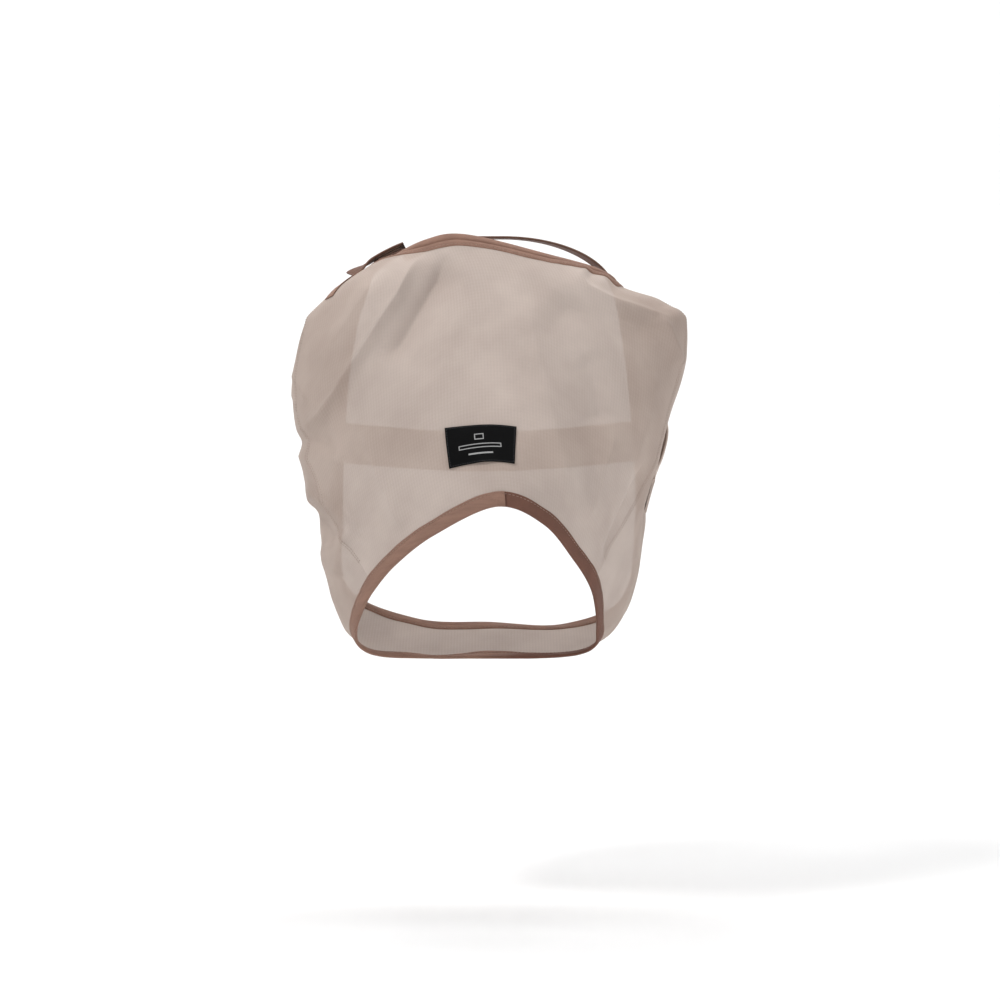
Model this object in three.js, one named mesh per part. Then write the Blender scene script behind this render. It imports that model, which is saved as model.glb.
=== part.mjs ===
// Fly mask for a horse, with free ears: a sheer mesh hood whose cut edges are bound with folded tape.
// A poll strap behind the ears and a throat strap across the jowls hold it, both with hook-and-loop tabs.
// Millimetres, +Z up. The face looks along -Y, and +X is the viewer's right when facing the mask.
// The origin is the middle of the poll strap's underside, where the mask hangs on the head.

import * as THREE from 'three'

// Overall sizes of the mask as worn, to which every point of the pattern is graded
const maskWidth = 350
const maskDepth = 284
const maskHeight = 382

// The nose opening, which lies in a plane that slopes down and back from the bridge of the nose
const noseWidth = 232
const noseLength = 205
const noseSlope = THREE.MathUtils.degToRad(45)

// Mesh and tape
const meshThickness = 0.8
const tapeWidth = 12
const tapeThickness = 0.6
const dartTapeWidth = 10
const dartTapeLength = 46

// Straps and their hook-and-loop pads
const strapThickness = 1.8
const padThickness = 1.2
const padMargin = 4
const pollStrapWidth = 25
const pollSeatLength = 24
const pollTabLength = 54
const pollPadLength = 24
const pollTabRoll = THREE.MathUtils.degToRad(26)
const throatStrapWidth = 38
const throatStrapBow = 32
const throatStrapSag = 10
const throatAnchorLength = 34
const throatTabLength = 78
const throatPadLength = 46
const throatTabRise = 1.6e-4

// The label sewn on the bridge of the nose
const labelWidth = 60
const labelHeight = 34
const labelThickness = 0.8
const labelTilt = THREE.MathUtils.degToRad(2.6)

// Clearances: between sewn pieces laid on one another, between the mesh and the tape folded round it,
// between panels' edges, and at a strap's fold line
const layerGap = 0.6
const tapeEase = 0.9
const seamGap = 0.6
const foldGap = 1.6
const throatFoldGap = 3

// Materials
const meshFabric = new THREE.MeshStandardMaterial({ color: '#b8a89c', roughness: 0.85, metalness: 0 })
const tape = new THREE.MeshStandardMaterial({ color: '#8a6a5c', roughness: 0.7, metalness: 0 })
const hook = new THREE.MeshStandardMaterial({ color: '#4f3f37', roughness: 0.9, metalness: 0 })
const labelCloth = new THREE.MeshStandardMaterial({ color: '#101012', roughness: 0.6, metalness: 0 })

// The size that the pattern's points below are written for
const pattern = { width: 350, depth: 284, height: 382 }
const grade = ([x, y, z]) => new THREE.Vector3(
  x * maskWidth / pattern.width,
  y * maskDepth / pattern.depth,
  z * maskHeight / pattern.height
)

// The mask's shape is a tube of rings from the nose to the head's side. Each ring's points run from the
// brow's middle down the right side, under the jaw and up the left side. Station 3 on the right and 15 on
// the left are the shoulders, and station 9 is under the jaw.
const stations = 18
const rightShoulder = 3
const rightCorner = 7
const underJaw = 9
const leftCorner = 11
const leftShoulder = 15
// The left shoulder's tape lies this far in front of its seam, in stations
const leftTapeShift = 0.4

// The nose opening's points as shares of its half width and of its length from the bridge down
const noseShares = [
  [0.055, 0], [0.41, 0.112], [0.65, 0.345], [0.78, 0.515], [0.83, 0.662], [0.845, 0.811], [0.83, 0.916],
  [0.68, 0.979], [0.36, 1], [0, 1],
  [-0.43, 1], [-0.85, 0.99], [-1.03, 0.926], [-1.055, 0.811], [-0.99, 0.662], [-0.895, 0.531],
  [-0.717, 0.364], [-0.42, 0.178]
]
const noseBridge = [0, -189.5, -240.5]

const cheekRing = [
  [0, -172, -172], [66, -160, -182], [112, -128, -207], [136, -90, -240], [136, -52, -275],
  [132, -32, -305], [126, -26, -340], [106, -28, -369], [56, -33, -381], [0, -35, -383],
  [-60, -33, -383], [-124, -28, -370], [-143, -26, -342], [-151, -32, -308], [-153, -52, -278],
  [-148, -92, -243], [-113, -128, -210], [-68, -158, -184]
]
const eyeRing = [
  [-2, -145, -115], [70, -134, -122], [126, -105, -135], [161, -66, -165], [153, -15, -205],
  [145, 15, -245], [141, 16, -294], [122, -2, -353], [66, -16, -374], [0, -20, -375],
  [-68, -16, -374], [-137, -2, -352], [-156, 16, -292], [-166, 15, -245], [-177, -15, -205],
  [-172, -68, -168], [-132, -105, -140], [-74, -134, -122]
]
const shoulderRing = [
  [-6, -108, -48], [66, -103, -50], [130, -80, -60], [178, -50, -74], [172, 14, -128],
  [150, 58, -196], [146, 56, -268], [128, 26, -343], [70, 6, -366], [0, 0, -366],
  [-70, 6, -364], [-140, 26, -338], [-156, 56, -266], [-163, 58, -196], [-176, 14, -134],
  [-162, -50, -76], [-118, -84, -56], [-66, -104, -46]
]
const headRing = [
  [-22, -79, -1], [50, -76, -18], [104, -52, -33], [116, -4, -50], [130, 56, -118],
  [138, 88, -190], [140, 80, -264], [127, 46, -336], [70, 26, -361], [0, 20, -359],
  [-70, 26, -356], [-136, 46, -328], [-143, 80, -264], [-142, 88, -192], [-134, 56, -116],
  [-115, -4, -44], [-92, -52, -22], [-58, -75, -5.5]
]

// The nose opening has its own width and length, and hangs from the bridge
function noseRing() {
  const bridge = grade(noseBridge)
  return noseShares.map(([across, along]) => new THREE.Vector3(
    bridge.x + across * noseWidth / 2,
    bridge.y + along * noseLength * Math.cos(noseSlope),
    bridge.z - along * noseLength * Math.sin(noseSlope)
  ))
}

const rings = [noseRing(), ...[cheekRing, eyeRing, shoulderRing, headRing].map(ring => ring.map(grade))]
const ringCurves = rings.map(points => new THREE.CatmullRomCurve3(points, true, 'catmullrom', 0.5))
const headEdge = rings.length - 1

// The smooth shape at station u around the tube and ring v along it
function shapeAt(u, v) {
  const share = THREE.MathUtils.euclideanModulo(u, stations) / stations
  const points = ringCurves.map(curve => curve.getPoint(share))
  const along = new THREE.CatmullRomCurve3(points, false, 'catmullrom', 0.5)
  return along.getPoint(v / headEdge)
}

// The cloth is the shape as facets between stations and rings this far apart. Whatever is sewn to it is
// laid on these facets, so that each layer keeps its gap.
const facetsPerStation = 3
const knots = new Map()
function knot(i, j) {
  const key = `${THREE.MathUtils.euclideanModulo(i, stations * facetsPerStation)},${j}`
  if (!knots.has(key)) {
    const u = i / facetsPerStation
    const v = j / facetsPerStation
    const step = 0.02
    const around = shapeAt(u + step, v).sub(shapeAt(u - step, v))
    const low = Math.max(v - step, 0)
    const high = Math.min(v + step, headEdge)
    const along = shapeAt(u, high).sub(shapeAt(u, low))
    knots.set(key, { point: shapeAt(u, v), normal: around.cross(along).normalize() })
  }
  return knots.get(key)
}

// A point of the cloth, raised from its middle layer by height, outwards being positive
function cloth(u, v, height = 0) {
  const i = Math.floor(u * facetsPerStation + 1e-6)
  const j = Math.min(Math.floor(v * facetsPerStation + 1e-6), headEdge * facetsPerStation - 1)
  const raised = (a, b) => knot(a, b).point.clone().addScaledVector(knot(a, b).normal, height)
  const low = raised(i, j).lerp(raised(i + 1, j), u * facetsPerStation - i)
  const high = raised(i, j + 1).lerp(raised(i + 1, j + 1), u * facetsPerStation - i)
  return low.lerp(high, v * facetsPerStation - j)
}

// Millimetres of cloth per station and per ring near a point
const span = 0.05
const perStation = (u, v) => cloth(u + span, v).distanceTo(cloth(u - span, v)) / (2 * span)
function perRing(u, v) {
  const low = Math.max(v - span, 0)
  const high = Math.min(v + span, headEdge)
  return cloth(u, high).distanceTo(cloth(u, low)) / (high - low)
}

// A closed body from cross-sections, each a strip with an outer and an inner side of as many points
function body(sections, closed = false) {
  const points = []
  const index = []
  const width = sections[0].outer.length
  const count = sections.length
  const place = (i, j, side) => ((i % count) * width + j) * 2 + side
  const quad = (a, b, c, d) => index.push(a, b, c, a, c, d)
  for (const { outer, inner } of sections) {
    for (let j = 0; j < width; j++) points.push(outer[j], inner[j])
  }
  const last = closed ? count : count - 1
  for (let i = 0; i < last; i++) {
    for (let j = 0; j < width - 1; j++) {
      quad(place(i, j, 0), place(i + 1, j, 0), place(i + 1, j + 1, 0), place(i, j + 1, 0))
      quad(place(i, j, 1), place(i, j + 1, 1), place(i + 1, j + 1, 1), place(i + 1, j, 1))
    }
    quad(place(i, 0, 0), place(i, 0, 1), place(i + 1, 0, 1), place(i + 1, 0, 0))
    const far = width - 1
    quad(place(i, far, 0), place(i + 1, far, 0), place(i + 1, far, 1), place(i, far, 1))
  }
  for (let j = 0; !closed && j < width - 1; j++) {
    quad(place(0, j, 0), place(0, j + 1, 0), place(0, j + 1, 1), place(0, j, 1))
    quad(place(last, j, 0), place(last, j, 1), place(last, j + 1, 1), place(last, j + 1, 0))
  }
  return faceOut(points, index)
}

// A geometry whose faces point out, whichever way its sections ran
function faceOut(points, index) {
  let volume = 0
  for (let k = 0; k < index.length; k += 3) {
    const [a, b, c] = [points[index[k]], points[index[k + 1]], points[index[k + 2]]]
    volume += a.dot(b.clone().cross(c))
  }
  const geometry = new THREE.BufferGeometry()
  geometry.setAttribute('position', new THREE.Float32BufferAttribute(points.flatMap(p => p.toArray()), 3))
  geometry.setIndex(volume < 0 ? index.reverse() : index)
  geometry.computeVertexNormals()
  return geometry
}

// Values from one end to the other, and at the cloth's facet lines between them
function facetLines(from, to) {
  const [low, high] = [Math.min(from, to), Math.max(from, to)]
  const first = Math.ceil((low + 0.02) * facetsPerStation)
  const last = Math.floor((high - 0.02) * facetsPerStation)
  const count = Math.max(last - first + 1, 0)
  const lines = Array.from({ length: count }, (_, k) => (first + k) / facetsPerStation)
  return [low, ...lines, high]
}

const range = (from, to, steps) => Array.from({ length: steps + 1 }, (_, k) => from + (to - from) * k / steps)

// One mesh panel between two seams, from the nose edge to the head edge
function panel(from, to) {
  const rows = range(0, headEdge, headEdge * facetsPerStation)
  return body(range(from, to, (to - from) * facetsPerStation).map(u => {
    const seamed = v => {
      const half = seamGap / 2 / perStation(u, v)
      return u + (u === from ? half : u === to ? -half : 0)
    }
    return {
      outer: rows.map(v => cloth(seamed(v), v, meshThickness / 2)),
      inner: rows.map(v => cloth(seamed(v), v, -meshThickness / 2))
    }
  }))
}

// The direction out of the cloth past its edge, along the cloth
function outwards(u, edge) {
  const inside = edge === 0 ? 0.3 : edge - 0.3
  return cloth(u, edge).sub(cloth(u, inside)).normalize()
}

// The folded tape's section at station u of an edge: two legs on the cloth and the fold past its edge
const tapeInside = meshThickness / 2 + tapeEase
const tapeOutside = tapeInside + tapeThickness
function foldedTape(u, edge) {
  const inwards = edge === 0 ? 1 : -1
  const legEnd = edge + inwards * tapeWidth / perRing(u, edge)
  const past = outwards(u, edge)
  const leg = height => range(legEnd, edge, 3).map(v => cloth(u, v, height))
  const side = (height, beyond) => [
    ...leg(height),
    cloth(u, edge, height / 2).addScaledVector(past, beyond),
    cloth(u, edge, -height / 2).addScaledVector(past, beyond),
    ...leg(-height).reverse()
  ]
  return { outer: side(tapeOutside, tapeOutside), inner: side(tapeInside, tapeEase) }
}

// A binding along an edge between two stations, with half a seam's gap left at each end
function binding(from, to, edge) {
  const steps = Math.round((to - from) * facetsPerStation)
  return body(range(from, to, steps).map((u, k) => {
    const half = seamGap / 2 / perStation(u, edge)
    return foldedTape(u + (k === 0 ? half : k === steps ? -half : 0), edge)
  }))
}

// A rectangle sewn on the cloth, its middle at (u, v), across stations by width and across rings by length
function patch(u, v, width, length, low, high, tilt = 0) {
  const across = width / perStation(u, v)
  const along = length / perRing(u, v)
  const lean = Math.tan(tilt)
  return body(range(-0.5, 0.5, 6).map(a => {
    const line = range(-0.5, 0.5, 6).map(b => [
      u + a * across + b * lean * length / perStation(u, v),
      v + b * along - a * lean * width / perRing(u, v)
    ])
    return {
      outer: line.map(([s, t]) => cloth(s, t, high)),
      inner: line.map(([s, t]) => cloth(s, t, low))
    }
  }))
}

// The tape on the inside of the mesh at each shoulder, from the head edge's binding out to the corner.
// The right one covers its seam and the left one lies in front of it
function dartTape(shoulder) {
  const low = -tapeOutside
  const start = headEdge - (tapeWidth + layerGap) / perRing(shoulder, headEdge)
  const end = start - dartTapeLength / perRing(shoulder, headEdge - 0.5)
  return body(facetLines(start, end).map(v => {
    const half = dartTapeWidth / 2 / perStation(shoulder, v)
    const line = [shoulder - half, shoulder, shoulder + half]
    return {
      outer: line.map(u => cloth(u, v, low + tapeThickness)),
      inner: line.map(u => cloth(u, v, low))
    }
  }))
}

// A strap's body along a row of cross-lines, each with its two edges and the side it faces
const strap = (lines, low, high) => body(lines.map(({ front, back, face }) => ({
  outer: [front, back].map(p => p.clone().addScaledVector(face, high)),
  inner: [front, back].map(p => p.clone().addScaledVector(face, low))
})))

// Where a strap is sewn on: clear of the binding's outer side
const sewnClear = tapeOutside + layerGap
const middle = ({ front, back }) => front.clone().add(back).divideScalar(2)

// The two points of the head edge by an ear, as far apart as the poll strap is wide
function earBase(side) {
  const u = side > 0 ? rightShoulder : leftShoulder
  const wide = side * pollStrapWidth / perStation(u + side * 0.2, headEdge)
  const cleared = s => cloth(s, headEdge).addScaledVector(outwards(s, headEdge), sewnClear + layerGap)
  return { front: cleared(u), back: cleared(u + wide) }
}

// The poll strap's line across itself, at an angle down the quarter arch from its level seat to an ear's base
function archLine(side, angle, lift = 0) {
  const base = earBase(side)
  const seat = side * pollSeatLength / 2
  const at = a => {
    const edge = (start, end) => new THREE.Vector3(
      seat + (end.x - seat) * Math.sin(a),
      THREE.MathUtils.lerp(start, end.y, 1 - Math.cos(a)),
      end.z * (1 - Math.cos(a))
    )
    return { front: edge(-pollStrapWidth / 2, base.front), back: edge(pollStrapWidth / 2, base.back) }
  }
  const { front, back } = at(angle)
  const tangent = middle(at(angle + 0.01)).sub(middle({ front, back }))
  const face = tangent.cross(back.clone().sub(front)).multiplyScalar(side).normalize()
  if (angle === 0) face.set(0, 0, 1)
  front.addScaledVector(face, lift)
  back.addScaledVector(face, lift)
  return { front, back, face }
}

// Heights of the layers at the poll's tab, from the strap's underside down: hook pad, loop pad, tail
const hookTop = -layerGap
const loopTop = hookTop - padThickness - layerGap
const tailTop = loopTop - padThickness - layerGap
const pollLift = strapThickness - tailTop
const pollFold = THREE.MathUtils.degToRad(40)
const pollEnd = THREE.MathUtils.degToRad(84)

// The fixed strap: level on its seat, rising on the left by the thickness of what lies under the tab
function pollStrap() {
  const left = range(pollFold, 0, 6).map(a =>
    archLine(-1, a, pollLift * THREE.MathUtils.smoothstep(a, pollFold / 4, pollFold)))
  const right = range(0, pollEnd, 9).map(a => archLine(1, a))
  return strap([...left, ...right], 0, strapThickness)
}

// The tab's line at a distance past the fold: it leans over the ear's base and rolls towards its free end
function tabLine(distance) {
  const { front, back, face } = archLine(-1, pollFold, pollLift)
  const across = back.clone().sub(front).normalize()
  const away = face.clone().cross(across)
  const flat = pollPadLength + 2 * padMargin + foldGap
  const roll = pollTabRoll * THREE.MathUtils.smoothstep(distance, flat, pollTabLength + foldGap)
  const drop = -0.003 * distance ** 2
  const centre = middle({ front, back }).addScaledVector(away, distance).addScaledVector(face, drop)
  const lean = Math.atan(0.006 * distance)
  const tilted = face.clone().applyAxisAngle(across, -lean)
  const direction = across.clone().cross(tilted)
  const turned = across.clone().applyAxisAngle(direction, roll)
  return {
    front: centre.clone().addScaledVector(turned, -pollStrapWidth / 2),
    back: centre.clone().addScaledVector(turned, pollStrapWidth / 2),
    face: tilted.clone().applyAxisAngle(direction, roll)
  }
}
const tabStretch = (from, to, steps, low, high) => strap(range(from, to, steps).map(tabLine), low, high)

// The tail sewn to the left ear's base, which lies under the tab and carries its loop pad
function pollTail() {
  const under = range(foldGap + padMargin / 2, foldGap + pollPadLength + 2 * padMargin, 4).map(tabLine)
  const { front, back } = earBase(-1)
  const face = new THREE.Vector3(-1, 0, 0)
  const settle = p => p.clone().addScaledVector(face, strapThickness / 2 - tailTop)
  const end = { front: settle(front), back: settle(back), face }
  return strap([...under, end], tailTop - strapThickness, tailTop)
}

// A line of the throat's straps across themselves: the head edge at a station, raised, and pushed past it
function throatLine(u, height, past) {
  const half = throatStrapWidth / 2 / perStation(u, headEdge)
  const edge = s => {
    return cloth(s, headEdge, height).addScaledVector(outwards(s, headEdge), past)
  }
  return { front: edge(u + half), back: edge(u - half) }
}

const throatRight = 5
const throatLeft = 13
const anchorMiddle = sewnClear + strapThickness / 2
const loopBase = meshThickness / 2 + layerGap
const hookBase = loopBase + padThickness + layerGap
const tabBase = hookBase + padThickness + layerGap
const foldPast = sewnClear + throatFoldGap / 2
const leftFold = throatLine(throatLeft, anchorMiddle, foldPast)
const rightFold = throatLine(throatRight, tabBase + strapThickness / 2, foldPast)

// The throat strap hangs back from one jowl to the other
function throatStrap() {
  const wide = middle(leftFold).distanceTo(middle(rightFold))
  const line = share => {
    const bow = Math.sin(Math.PI * share)
    const between = (a, b) => a.clone().lerp(b, share)
      .add(new THREE.Vector3(0, throatStrapBow * bow, -throatStrapSag * bow))
    return { front: between(leftFold.back, rightFold.front), back: between(leftFold.front, rightFold.back) }
  }
  const start = throatFoldGap / 2 / wide
  const lines = range(start, 1 - start, 14).map(share => {
    const here = line(share)
    const along = middle(line(share + 0.01)).sub(middle(line(share - 0.01)))
    const face = here.front.clone().sub(here.back).cross(along).normalize()
    return { ...here, face: face.y < 0 ? face.negate() : face }
  })
  return strap(lines, -strapThickness / 2, strapThickness / 2)
}

// A piece laid on a side panel by the head edge, from one distance in from the edge to another. Rise turns
// it, in stations per square millimetre, so that it runs level where the rings' lines slope down.
function laid(u, width, from, to, low, high, rise = 0) {
  const half = width / 2 / perStation(u, headEdge)
  const reach = perRing(u, headEdge - 0.4)
  return body(facetLines(headEdge - to / reach, headEdge - from / reach).map(v => {
    const middleLine = u - rise * ((headEdge - v) * reach) ** 2
    const line = range(middleLine - half, middleLine + half, 4)
    return { outer: line.map(s => cloth(s, v, high)), inner: line.map(s => cloth(s, v, low)) }
  }))
}

// Sub-parts
const mask = new THREE.Group()
function add(name, geometry, material) {
  const mesh = new THREE.Mesh(geometry, material)
  mesh.name = name
  mask.add(mesh)
}

function addPanels() {
  add('face_panel', panel(leftShoulder - stations, rightShoulder), meshFabric)
  add('side_panel_right', panel(rightShoulder, rightCorner), meshFabric)
  add('jaw_panel', panel(rightCorner, leftCorner), meshFabric)
  add('side_panel_left', panel(leftCorner, leftShoulder), meshFabric)
}

function addTapes() {
  add('nose_binding', binding(0, stations, 0), tape)
  add('brow_binding', binding(leftShoulder - stations, rightShoulder, headEdge), tape)
  add('rear_binding_right', binding(rightShoulder, rightCorner, headEdge), tape)
  add('jaw_binding', binding(rightCorner, leftCorner, headEdge), tape)
  add('rear_binding_left', binding(leftCorner, leftShoulder, headEdge), tape)
  add('dart_tape_right', dartTape(rightShoulder), tape)
  add('dart_tape_left', dartTape(leftShoulder + leftTapeShift), tape)
}

function addPollStrap() {
  const padFrom = foldGap + padMargin
  const padTo = padFrom + pollPadLength
  add('poll_strap', pollStrap(), tape)
  add('poll_tail', pollTail(), tape)
  add('poll_tab', tabStretch(foldGap, foldGap + pollTabLength, 8, 0, strapThickness), tape)
  add('poll_hook_pad', tabStretch(padFrom, padTo, 4, hookTop - padThickness, hookTop), hook)
  add('poll_loop_pad', tabStretch(padFrom, padTo, 4, loopTop - padThickness, loopTop), hook)
}

function addThroatStrap() {
  const padWidth = throatStrapWidth - 2 * padMargin
  const padFrom = tapeWidth + padMargin
  const padTo = padFrom + throatPadLength
  const anchor = laid(throatLeft, throatStrapWidth, -sewnClear, throatAnchorLength, sewnClear,
    sewnClear + strapThickness)
  const onTab = (width, from, to, base, thickness) =>
    laid(throatRight, width, from, to, base, base + thickness, throatTabRise)
  add('throat_anchor', anchor, tape)
  add('throat_strap', throatStrap(), tape)
  add('throat_tab', onTab(throatStrapWidth, -sewnClear, throatTabLength, tabBase, strapThickness), tape)
  add('throat_hook_pad', onTab(padWidth, padFrom, padTo, hookBase, padThickness), hook)
  add('throat_loop_pad', onTab(padWidth, padFrom, padTo, loopBase, padThickness), hook)
}

// The label lies across the bridge of the nose, a little to the left of it
function addLabel() {
  const low = meshThickness / 2 + layerGap
  const woven = patch(-0.12, 0.78, labelWidth, labelHeight, low, low + labelThickness, labelTilt)
  add('woven_label', woven, labelCloth)
}

addPanels()
addTapes()
addPollStrap()
addThroatStrap()
addLabel()

export default mask
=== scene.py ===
import math
import bpy
import numpy as np
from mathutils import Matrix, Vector


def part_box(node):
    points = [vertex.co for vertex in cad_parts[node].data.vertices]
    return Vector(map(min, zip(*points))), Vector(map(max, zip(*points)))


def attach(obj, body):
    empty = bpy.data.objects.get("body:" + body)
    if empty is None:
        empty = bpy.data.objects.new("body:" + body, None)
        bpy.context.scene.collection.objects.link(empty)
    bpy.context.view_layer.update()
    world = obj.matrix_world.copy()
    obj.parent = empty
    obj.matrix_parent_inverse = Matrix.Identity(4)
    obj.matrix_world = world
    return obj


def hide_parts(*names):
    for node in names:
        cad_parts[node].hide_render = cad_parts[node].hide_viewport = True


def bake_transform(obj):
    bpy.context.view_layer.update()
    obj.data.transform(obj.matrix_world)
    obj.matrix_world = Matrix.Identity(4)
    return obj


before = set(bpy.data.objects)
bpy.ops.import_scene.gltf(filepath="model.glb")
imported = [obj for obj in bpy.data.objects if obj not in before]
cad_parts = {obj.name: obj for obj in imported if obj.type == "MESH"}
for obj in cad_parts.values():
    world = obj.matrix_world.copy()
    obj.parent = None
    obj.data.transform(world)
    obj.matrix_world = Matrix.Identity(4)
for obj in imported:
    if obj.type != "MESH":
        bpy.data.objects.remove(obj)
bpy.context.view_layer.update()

mm = 0.001
print("stage: frame loaded")

# The mask's pattern, in millimetres: rings from the nose to the side of the head. Each ring runs from the
# brow's middle down the viewer's right, under the jaw at station 9 and up the left.
pattern = dict(
    stations=18,
    noseBridge=(0, -189.5, -240.5), noseWidth=232, noseLength=205, noseSlope=math.radians(45),
    noseShares=[
        (0.055, 0), (0.41, 0.112), (0.65, 0.345), (0.78, 0.515), (0.83, 0.662), (0.845, 0.811), (0.83, 0.916),
        (0.68, 0.979), (0.36, 1), (0, 1), (-0.43, 1), (-0.85, 0.99), (-1.03, 0.926), (-1.055, 0.811),
        (-0.99, 0.662), (-0.895, 0.531), (-0.717, 0.364), (-0.42, 0.178)],
    cheek=[
        (0, -172, -172), (66, -160, -182), (112, -128, -207), (136, -90, -240), (136, -52, -275),
        (132, -32, -305), (126, -26, -340), (106, -28, -369), (56, -33, -381), (0, -35, -383),
        (-60, -33, -383), (-124, -28, -370), (-143, -26, -342), (-151, -32, -308), (-153, -52, -278),
        (-148, -92, -243), (-113, -128, -210), (-68, -158, -184)],
    eye=[
        (-2, -145, -115), (70, -134, -122), (126, -105, -135), (161, -66, -165), (153, -15, -205),
        (145, 15, -245), (141, 16, -294), (122, -2, -353), (66, -16, -374), (0, -20, -375),
        (-68, -16, -374), (-137, -2, -352), (-156, 16, -292), (-166, 15, -245), (-177, -15, -205),
        (-172, -68, -168), (-132, -105, -140), (-74, -134, -122)],
    shoulder=[
        (-6, -108, -48), (66, -103, -50), (130, -80, -60), (178, -50, -74), (172, 14, -128),
        (150, 58, -196), (146, 56, -268), (128, 26, -343), (70, 6, -366), (0, 0, -366),
        (-70, 6, -364), (-140, 26, -338), (-156, 56, -266), (-163, 58, -196), (-176, 14, -134),
        (-162, -50, -76), (-118, -84, -56), (-66, -104, -46)],
    head=[
        (-22, -79, -1), (50, -76, -18), (104, -52, -33), (116, -4, -50), (130, 56, -118),
        (138, 88, -190), (140, 80, -264), (127, 46, -336), (70, 26, -361), (0, 20, -359),
        (-70, 26, -356), (-136, 46, -328), (-143, 80, -264), (-142, 88, -192), (-134, 56, -116),
        (-115, -4, -44), (-92, -52, -22), (-58, -75, -5.5)])
headEdge = 4.0


# The nose ring lies in a sloping plane: each share goes across by the half width and down the slope
def noseRing(p):
    share = np.array(p["noseShares"], float)
    across = share[:, 0] * p["noseWidth"] / 2
    down = share[:, 1] * p["noseLength"]
    return np.array(p["noseBridge"]) + np.stack(
        [across, down * math.cos(p["noseSlope"]), -down * math.sin(p["noseSlope"])], 1)


ringPoints = np.stack([noseRing(pattern)] + [np.array(pattern[ring], float)
                                             for ring in ("cheek", "eye", "shoulder", "head")])


# Four points' weights at t between the middle two, on a Catmull-Rom curve
def curveWeights(t):
    return 0.5 * np.stack([
        -t + 2 * t**2 - t**3, 2 - 5 * t**2 + 3 * t**3, t + 4 * t**2 - 3 * t**3, -t**2 + t**3])


# The hood's smooth shape, in millimetres: a closed curve round each ring at station u, and an open curve
# through those five points at ring v
def shape(u, v):
    u, v = np.broadcast_arrays(np.asarray(u, float), np.asarray(v, float))
    form, u, v = u.shape, u.ravel(), v.ravel()
    first = np.floor(u).astype(int)
    weights = curveWeights(u - first)
    at = [(first + k - 1) % pattern["stations"] for k in range(4)]
    rings = [sum(weights[k][:, None] * ringPoints[r][at[k]] for k in range(4)) for r in range(5)]
    rings = np.stack([2 * rings[0] - rings[1]] + rings + [2 * rings[4] - rings[3]])
    inside = np.clip(v, 0, headEdge)
    low = np.clip(np.floor(inside).astype(int), 0, 3)
    weights = curveWeights(inside - low)
    count = np.arange(u.size)
    return sum(weights[k][:, None] * rings[low + k, count] for k in range(4)).reshape(form + (3,))


# A step from 0 to 1 as three t squared less two t cubed
def smooth(t):
    return np.clip(t, 0, 1)**2 * (3 - 2 * np.clip(t, 0, 1))


# Vectors divided by their own length
def unit(a):
    return a / np.maximum(np.linalg.norm(a, axis=-1, keepdims=True), 1e-9)


# Distance to a line of points seen from the front, positive on its left side, and the share along it
def alongLine(x, z, line):
    best = np.full(x.shape, 1e9)
    signed = np.zeros(x.shape)
    share = np.zeros(x.shape)
    line = np.array(line, float)
    pieces = np.diff(line, axis=0)
    lengths = np.hypot(pieces[:, 0], pieces[:, 1])
    total = lengths.sum()
    for k, (dx, dz) in enumerate(pieces):
        rx, rz = x - line[k, 0], z - line[k, 1]
        t = np.clip((rx * dx + rz * dz) / lengths[k]**2, 0, 1)
        away = np.hypot(rx - t * dx, rz - t * dz)
        nearer = away < best
        side = np.sign(rz * dx - rx * dz)
        best = np.where(nearer, away, best)
        signed = np.where(nearer, side * away, signed)
        share = np.where(nearer, (lengths[:k].sum() + t * lengths[k]) / total, share)
    return signed, share


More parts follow.
